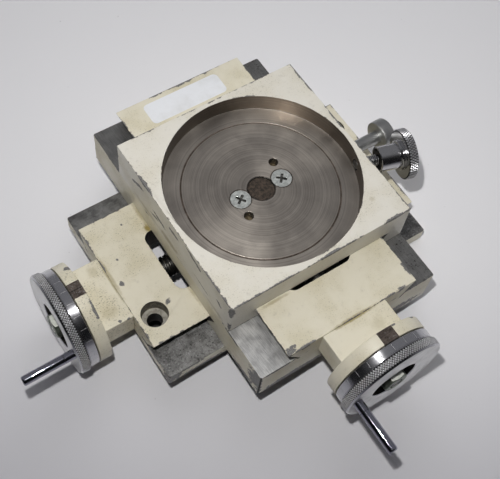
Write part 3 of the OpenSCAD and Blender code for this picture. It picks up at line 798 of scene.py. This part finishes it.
# Handwheels, dials, handles and lead screws of both drives, drawn on the X axis and turned for Y
seat = boxOf("x_washer")[1].x
centre = (axisX.y, axisX.z)
rimRadius = (wheelHigh.z - wheelLow.z) / 2
face = wheelLow.x
bossBack = wheelHigh.x
wheelShape = {"boss": 16.0, "bore": 4.0, "recess": 10.3, "chamfer": 0.75, "ring": 1.1, "corner": 0.3,
              "flat": 0.12, "blunt": 0.1, "sunk": 0.08, "mouth": 0.4, "dialGap": 0.1}
rimBack = dialLow.x - wheelShape["dialGap"]
knurlShape = {"count": 120, "rows": 5, "depth": 0.5, "margin": 0.35}
knurlTooth = {"long": 1.6, "wide": 0.8, "sunk": 0.02}
dialShape = {"radius": 22.0, "bore": 16.12, "rebate": 0.32, "rebateDepth": 0.8, "edge": 0.15,
             "groove": (0.55, 0.45, 0.35, 0.25), "grooveDepth": 0.12}
markShape = {"count": 24, "width": 0.17, "proud": 0.03, "gap": 0.5, "length": 2.6, "first": 86.5}
pinShape = {"joint": 4.6, "seat": 0.02, "tip": ((0, 0.7), (0.15, 0.32), (0.5, 0.06), (0.9, 0)),
            "groove": ((-0.12, 0), (-0.08, 0.3), (0.08, 0.3), (0.12, 0))}  # steps back and in
screwShape = {"core": 4.0, "shoulder": -67.3, "farShoulder": 45.0, "journal": 4.0, "corner": 0.4, "end": 2.55,
              "endCorner": (0.3, 2.2)}
threadShape = {  # pitch, radius, root, crest and depth of the ridge, lead in, part of a turn left off
    "feed": (2.0, 4.47, 1.15, 0.75, 1.0, 0.6, 0.6),
    "end": (1.0, 2.72, 0.7, 0.15, 0.5, 0.4, 0.8),
    "clamp": (0.8, 2.28, 0.6, 0.12, 0.42, 0.4, 0.8),
}
ringSteps = {"wheel": 144, "head": 96, "shank": 64, "pin": 48}


def makeKnurl(name, node, k, radius, first, last, middle, lookName, place):
    t = knurlTooth
    rowStep = (last - first) / (k["rows"] - 1)
    around = 2 * math.pi * radius / k["count"]
    values = {"Count": k["count"], "Rows": k["rows"], "Radius": (radius - k["depth"] - t["sunk"]) * mm,
              "Start": first * mm, "Row Step": rowStep * mm, "First Angle": 0.0,
              "Middle": Vector((0, *middle)) * mm,
              "Size": Vector((t["long"] * abs(rowStep), t["wide"] * around, k["depth"])) * mm}
    grown(name, node, trees["knurl"], values, lookName, place)


def makeThread(name, node, kind, start, stop, middle, lookName, place):
    *ridge, lead, short = threadShape[kind]
    values = {key: value * mm for key, value in zip(("Pitch", "Radius", "Root", "Crest", "Depth"), ridge)}
    values["Turns"] = (stop - start) / ridge[0] - short
    values["Start"] = Vector((start + lead, *middle)) * mm
    grown(name, node, trees["thread"], values, lookName, place)


def makeWheel(axis):
    s, k, place, node = wheelShape, knurlShape, drivePlace[axis], axis + "_handwheel"
    base = rimRadius - k["depth"]
    front = face + s["chamfer"]
    edge = rimRadius - s["chamfer"]
    ring = edge - s["ring"]
    sunk = face + s["sunk"]
    points = [(bossBack, s["bore"]), (bossBack, s["boss"]), (rimBack, s["boss"]),
              (rimBack, base - s["corner"]), (rimBack - s["corner"], base), (front, base),
              (front, rimRadius - s["flat"]),
              (face + s["blunt"], edge), (face, edge - s["blunt"]), (face, ring), (sunk, ring - s["sunk"]),
              (sunk, s["recess"] + s["mouth"]), (face + s["mouth"], s["recess"]), (seat, s["recess"]),
              (seat, s["bore"]), (bossBack, s["bore"])]
    picks = [0, 0, 0, 3, 3, 3, 0, 1, 1, 1, 1, 0, 2, 2, 2]
    names = ("chrome" + axis.upper(), "wheelFace", "darkBore", "knurlRoot")
    lathe(axis + "_wheel_rim", node, points, centre, names, ringSteps["wheel"], place, picks)
    first, last = rimBack - k["margin"] - s["corner"], front + k["margin"]
    makeKnurl(axis + "_wheel_knurl", node, k, rimRadius, first, last, centre, "knurl", place)


def makeDial(axis):
    s, m, place, node = dialShape, markShape, drivePlace[axis], axis + "_dial"
    back, front, r, edge = dialHigh.x, dialLow.x, s["radius"], s["edge"]
    step, inner, floor = back - s["rebate"], r - s["rebateDepth"], r - s["grooveDepth"]
    a, b, c, d = [front + x for x in s["groove"]]
    points = [(back, s["bore"]), (back, inner), (step, inner), (step, r - edge), (step - edge, r), (a, r),
              (b, floor), (c, floor), (d, r), (front + edge, r), (front, r - edge), (front, s["bore"]),
              (back, s["bore"])]
    picks = [0, 1, 1] + [0] * 9
    names = ("chrome" + axis.upper(), "darkBore")
    lathe(axis + "_dial_band", node, points, centre, names, ringSteps["wheel"], place, picks)
    start = step - m["gap"] - m["length"] / 2
    values = {"Count": m["count"], "Rows": 1, "Radius": r * mm, "Start": start * mm, "Row Step": 0.0,
              "First Angle": math.radians(m["first"]), "Middle": Vector((0, *centre)) * mm,
              "Size": Vector((m["length"], m["width"], 2 * m["proud"])) * mm}
    grown(axis + "_dial_marks", node, trees["marks"], values, "engraved", place)


def makeHandle(axis):
    s, place, node = pinShape, drivePlace[axis], axis + "_handle"
    low, high = boxOf(node)
    if axis == "y":
        low, high = [place.inverted() @ (corner * mm) / mm for corner in (low, high)]
    radius = abs(high.z - low.z) / 2
    middle = ((low.y + high.y) / 2, (low.z + high.z) / 2)
    tip, joint, root = min(low.x, high.x), face - s["joint"], face + s["seat"]
    points = [(tip, 0.0)] + [(tip + back, radius - drop) for back, drop in s["tip"]]
    points += [(joint + back, radius - drop) for back, drop in s["groove"]]
    points += [(root, radius), (root, 0.0)]
    picks = [0, 0, 0, 0, 0, 1, 1, 1, 0, 0]
    names = ("pin" + axis.upper(), "darkBore")
    lathe(axis + "_handle_pin", node, points, middle, names, ringSteps["pin"], place, picks)


def makeScrew(axis):
    s, place, node = screwShape, drivePlace[axis], axis + "_leadscrew"
    near, far, start, stop = screwLow.x, screwHigh.x, s["shoulder"], s["farShoulder"]
    journal, core, end, corner = s["journal"], s["core"], s["end"], s["corner"]
    back, small = s["endCorner"]
    points = [(far, 0.0), (far, journal - corner), (far - corner, journal), (stop, journal), (stop, core),
              (start, core), (start, journal), (seat, journal), (seat, end), (near + back, end),
              (near, small), (near, 0.0)]
    lathe(axis + "_feed_screw", node, points, centre, ("screwThread",), ringSteps["shank"], place)
    makeThread(axis + "_feed_thread", node, "feed", start, stop, centre, "screwThread", place)
    makeThread(axis + "_end_thread", node, "end", near, seat, centre, "fixingSteel", place)


for axis in "xy":
    makeWheel(axis)
    makeDial(axis)
    makeHandle(axis)
    makeScrew(axis)
print("drives ready")

# Clamp and lock knobs at the table's +X side, drawn along X from the table's centre
clampShape = {"angle": -16.5, "tip": 43.15, "hub": 52.2, "head": 62.6, "core": 2.1, "coreEnd": 0.4,
              "inHub": 0.5, "hubRadius": 5.7, "neck": 6.7, "neckLength": 1.4, "headRadius": 11.2,
              "headWidth": 4.3, "rim": 0.35, "dish": (3.0, 0.3)}
clampKnurl = {"count": 54, "rows": 4, "depth": 0.5, "margin": 0.8}
lockShape = {"from": 38.63, "head": 63.6, "shank": 3.0, "tip": 0.4, "inHead": 0.5, "overlap": 0.05,
             "headRadius": 6.9, "headWidth": 5.8, "back": 0.6, "front": 0.8,
             "arc": (0, 0.52, 1.05, math.pi / 2)}
knobAxis = (0, 0)


def knobPlace(node):
    return Matrix.Translation(Vector((tableMid.x, tableMid.y, middleOf(node).z)) * mm)


def makeClamp():
    s, k = clampShape, clampKnurl
    place = knobPlace("clamp_knob") @ Matrix.Rotation(math.radians(s["angle"]), 4, "Z")
    tip, hub, head, core = s["tip"], s["hub"], s["head"], s["core"]
    points = [(tip, 0.0), (tip, core - s["coreEnd"]), (tip + s["coreEnd"], core), (hub + s["inHub"], core),
              (hub + s["inHub"], 0.0)]
    lathe("clamp_screw_core", "clamp_stud", points, knobAxis, ("knobChrome",), ringSteps["pin"], place)
    makeThread("clamp_screw_thread", "clamp_stud", "clamp", tip, hub, knobAxis, "knobChrome", place)
    out, r, rim = head + s["headWidth"], s["headRadius"] - k["depth"], s["rim"]
    neck, wide, thin = head - s["neckLength"], s["neck"], s["hubRadius"]
    dishRadius, dishDepth = s["dish"]
    points = [(hub + 1.6, 0.0), (hub + 1.6, thin - 1.3), (hub, thin - 0.9), (hub, thin - 0.2),
              (hub + 0.2, thin), (neck - 0.2, thin), (neck, wide - 0.3), (neck + 0.4, wide),
              (head - 0.1, wide), (head, wide + 0.1), (head, r - 0.45), (head + rim, r - 0.1),
              (head + rim, r), (out - rim, r), (out - rim, r - 0.1), (out - 0.1, r - 0.35), (out, r - 0.7),
              (out, dishRadius), (out - dishDepth, 0.0)]
    picks = [1, 1] + [0] * 8 + [2, 2, 2, 2] + [0] * 4
    names = ("knobChrome", "darkBore", "knurlRoot")
    lathe("clamp_knob_body", "clamp_knob", points, knobAxis, names, ringSteps["head"], place, picks)
    first, last = head + k["margin"], out - k["margin"]
    makeKnurl("clamp_knob_knurl", "clamp_knob", k, s["headRadius"], first, last, knobAxis, "knobKnurl", place)


def makeLock():
    s, place, names = lockShape, knobPlace("lock_knob"), ("satinChrome",)
    start, head, shank, r = s["from"], s["head"], s["shank"], s["headRadius"]
    out, back, front = head + s["headWidth"], s["back"], s["front"]
    points = [(start, 0.0), (start, shank - s["tip"]), (start + s["tip"], shank), (head + s["inHead"], shank),
              (head + s["inHead"], 0.0)]
    lathe("lock_shank", "lock_screw", points, knobAxis, names, ringSteps["shank"], place)
    points = [(head, shank - s["overlap"])]
    points += [(head + back - back * math.cos(a), r - back + back * math.sin(a)) for a in s["arc"]]
    points += [(out - front + front * math.sin(a), r - front + front * math.cos(a)) for a in s["arc"]]
    lathe("lock_head", "lock_knob", points + [(out, 0.0)], knobAxis, names, ringSteps["head"], place)


makeClamp()
makeLock()
print("knobs ready")

# Blank label on the saddle's rear dovetail
labelShape = {"x": (-17.2, 21.3), "y": (52.1, 63.4), "corner": 2.2, "thick": 0.1, "steps": 6}
labelTone = {"paper": rgb(0.80, 0.82, 0.86), "grey": rgb(0.70, 0.71, 0.73), "fibre": rgb(0.52, 0.53, 0.55)}


def makeLabel():
    s, t = labelShape, labelTone
    looks["labelPaper"], w, shader = newLook("labelPaper", IOR=1.45)
    place = w.place()
    fibres = w.noise(place, 1.4, 4, 0.6)
    smudge = w.noise(place, 0.12, 4)
    colour = w.mix(w.ramp(smudge, 0.4, 0.8), t["paper"], t["grey"])
    colour = w.tint(colour, w.ramp(fibres, 0.62, 0.8), 0.25, t["fibre"])
    w.coat(shader, colour, w.ramp(smudge, 0.3, 0.7, 0.3, 0.48), w.times(fibres, 0.01), 0.6)
    (left, right), (near, far), r = s["x"], s["y"], s["corner"]
    corners = ((right - r, far - r), (left + r, far - r), (left + r, near + r), (right - r, near + r))
    bm = bmesh.new()
    outline = []
    for quarter, (x, y) in enumerate(corners):
        for k in range(s["steps"] + 1):
            a = math.radians(90 * quarter + 90 * k / s["steps"])
            spot = (x + r * math.cos(a), y + r * math.sin(a), saddleHigh.z)
            outline.append(bm.verts.new([value * mm for value in spot]))
    sheet = bm.faces.new(outline)
    top = bmesh.ops.extrude_face_region(bm, geom=[sheet])["geom"]
    raised = [v for v in top if isinstance(v, bmesh.types.BMVert)]
    bmesh.ops.translate(bm, vec=(0, 0, s["thick"] * mm), verts=raised)
    outward(bm)
    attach(linkMesh("blank_label", asMesh(bm, "blank_label"), "labelPaper"), "saddle")


makeLabel()
print("label ready")

# Stage: pale floor that touches the base's far edge and the X handwheel, light and camera
floorShape = {"size": 3.0, "under": 0.0002, "towards": (0.6, 0.8, 0), "shade": (-230, 20),
              "darkMiddle": (-56.5, -13, -13), "darkEdge": (9.5, 7)}
floorTone = {"near": rgb(0.575, 0.57, 0.625), "far": rgb(0.86, 0.86, 0.89), "cloud": rgb(0.60, 0.60, 0.62),
             "speck": rgb(0.33, 0.33, 0.35), "dark": rgb(0.03, 0.03, 0.03)}
floorSlope = math.atan2(-wheelLow.z, baseHigh.x - face)


def floorLean(above):
    spot = (baseHigh.x * mm, 0, above - floorShape["under"])
    return Matrix.Translation(spot) @ Matrix.Rotation(-floorSlope, 4, "Y")


def makeFloor():
    s, t = floorShape, floorTone
    looks["paleFloor"], w, shader = newLook("paleFloor", IOR=1.45)
    place = w.place()
    cloud = w.noise(place, 0.008)
    specks = w.noise(place, 0.28, 2, 0.5)
    fine = w.noise(place, 1.2)
    # painted light and shade: the floor is painted darker towards the camera side and lighter towards +X+Y,
    # standing in for the fall of the light
    colour = w.mix(w.ramp(w.towards(place, s["towards"]), *s["shade"]), t["near"], t["far"])
    colour = w.tint(colour, cloud, 0.12, t["cloud"])
    colour = w.tint(colour, w.ramp(specks, 0.76, 0.82), 0.3, t["speck"])
    holeShadow = w.ramp(w.distance(place, s["darkMiddle"]), *s["darkEdge"])  # painted shadow: a dark patch on the floor under the base's front hole
    colour = w.mix(holeShadow, colour, t["dark"])
    w.coat(shader, colour, w.ramp(cloud, 0.3, 0.7, 0.5, 0.6), w.times(fine, 0.02), 0.4)
    bm = bmesh.new()
    bmesh.ops.create_grid(bm, x_segments=2, y_segments=2, size=s["size"] / 2)
    bmesh.ops.transform(bm, matrix=floorLean(0), verts=bm.verts)
    linkMesh("pale_floor", asMesh(bm, "pale_floor"), "paleFloor")


# Pale surroundings for the other views: seen by the camera only, clear round the object
backdropShape = {"radius": 1.4, "disc": 1.2, "above": 0.0004, "tone": rgb(0.5, 0.5, 0.51),
                 "middle": (45, 60, 0), "clear": 222, "full": 350}


def makeBackdrop():
    s = backdropShape
    look, w, shader = newLook("paleBackdrop")
    looks["paleBackdrop"] = look
    nodes = look.node_tree.nodes
    nodes.remove(shader)
    pale = w.ramp(w.distance(w.place(), s["middle"]), s["clear"], s["full"])
    glow = w.made("ShaderNodeEmission", {"Color": s["tone"]})
    clear = w.made("ShaderNodeBsdfTransparent")
    both = w.made("ShaderNodeMixShader", {0: pale, 1: clear, 2: glow})
    w.feed(nodes["Material Output"].inputs["Surface"], both)
    bm = bmesh.new()
    bmesh.ops.create_uvsphere(bm, u_segments=48, v_segments=24, radius=s["radius"])
    bmesh.ops.create_circle(bm, cap_ends=True, segments=64, radius=s["disc"] * s["radius"],
                            matrix=floorLean(s["above"]))
    obj = linkMesh("pale_backdrop", asMesh(bm, "pale_backdrop"), "paleBackdrop")
    obj.visible_diffuse = obj.visible_glossy = obj.visible_transmission = obj.visible_shadow = False


lightShape = {
    "key": {"place": (-0.124, -0.0963, 0.390), "aim": (0.18, 0.22, 0.0), "power": 4.5, "radius": 0.007,
            "cone": 130, "tone": (1.0, 0.985, 0.96)},
    "fill": {"place": (0.40, 0.50, 0.75), "aim": (0.0, 0.0, 0.0), "power": 2.2, "size": 0.9},
}
skyShape = {"towards": (0.66, 0.75, 0.0), "edge": (-0.45, 0.1), "lit": rgb(0.22, 0.22, 0.23),
            "dim": rgb(0.012, 0.012, 0.013)}


def addLamp(name, kind, s):
    lamp = bpy.data.lights.new(name, kind)
    lamp.energy = s["power"]
    obj = bpy.data.objects.new(name, lamp)
    bpy.context.scene.collection.objects.link(obj)
    obj.location = s["place"]
    obj.rotation_euler = (Vector(s["aim"]) - Vector(s["place"])).to_track_quat("-Z", "Y").to_euler()
    return obj


def makeLight():
    s = lightShape["key"]
    lamp = addLamp("key_light", "SPOT", s).data
    lamp.shadow_soft_size = s["radius"]
    lamp.spot_size = math.radians(s["cone"])
    lamp.spot_blend = 1.0
    lamp.color = s["tone"]
    s = lightShape["fill"]
    fill = addLamp("fill_light", "AREA", s)
    fill.data.shape = "DISK"
    fill.data.size = s["size"]
    fill.visible_glossy = False
    s = skyShape
    world = bpy.data.worlds.new("studio_sky")
    world.use_nodes = True
    bpy.context.scene.world = world
    w = Wiring(world.node_tree)
    ray = w.add("ShaderNodeTexCoord").outputs["Generated"]
    lit = w.ramp(w.towards(ray, s["towards"]), *s["edge"])
    w.feed(world.node_tree.nodes["Background"].inputs["Color"], w.mix(lit, s["dim"], s["lit"]))


cameraShape = {"place": (-0.1350, -0.1563, 0.3587), "turn": (29.144, -4.438, -33.451), "lens": 65.49,
               "sensor": 36, "clip": 0.01}


def makeCamera():
    s = cameraShape
    lens = bpy.data.cameras.new("photo_camera")
    lens.lens = s["lens"]
    lens.sensor_width = s["sensor"]
    lens.clip_start = s["clip"]
    camera = bpy.data.objects.new("photo_camera", lens)
    bpy.context.scene.collection.objects.link(camera)
    camera.location = s["place"]
    camera.rotation_euler = [math.radians(a) for a in s["turn"]]
    bpy.context.scene.camera = camera


makeFloor()
makeBackdrop()
makeLight()
makeCamera()
bpy.context.scene.view_settings.view_transform = "Standard"
print("stage ready")
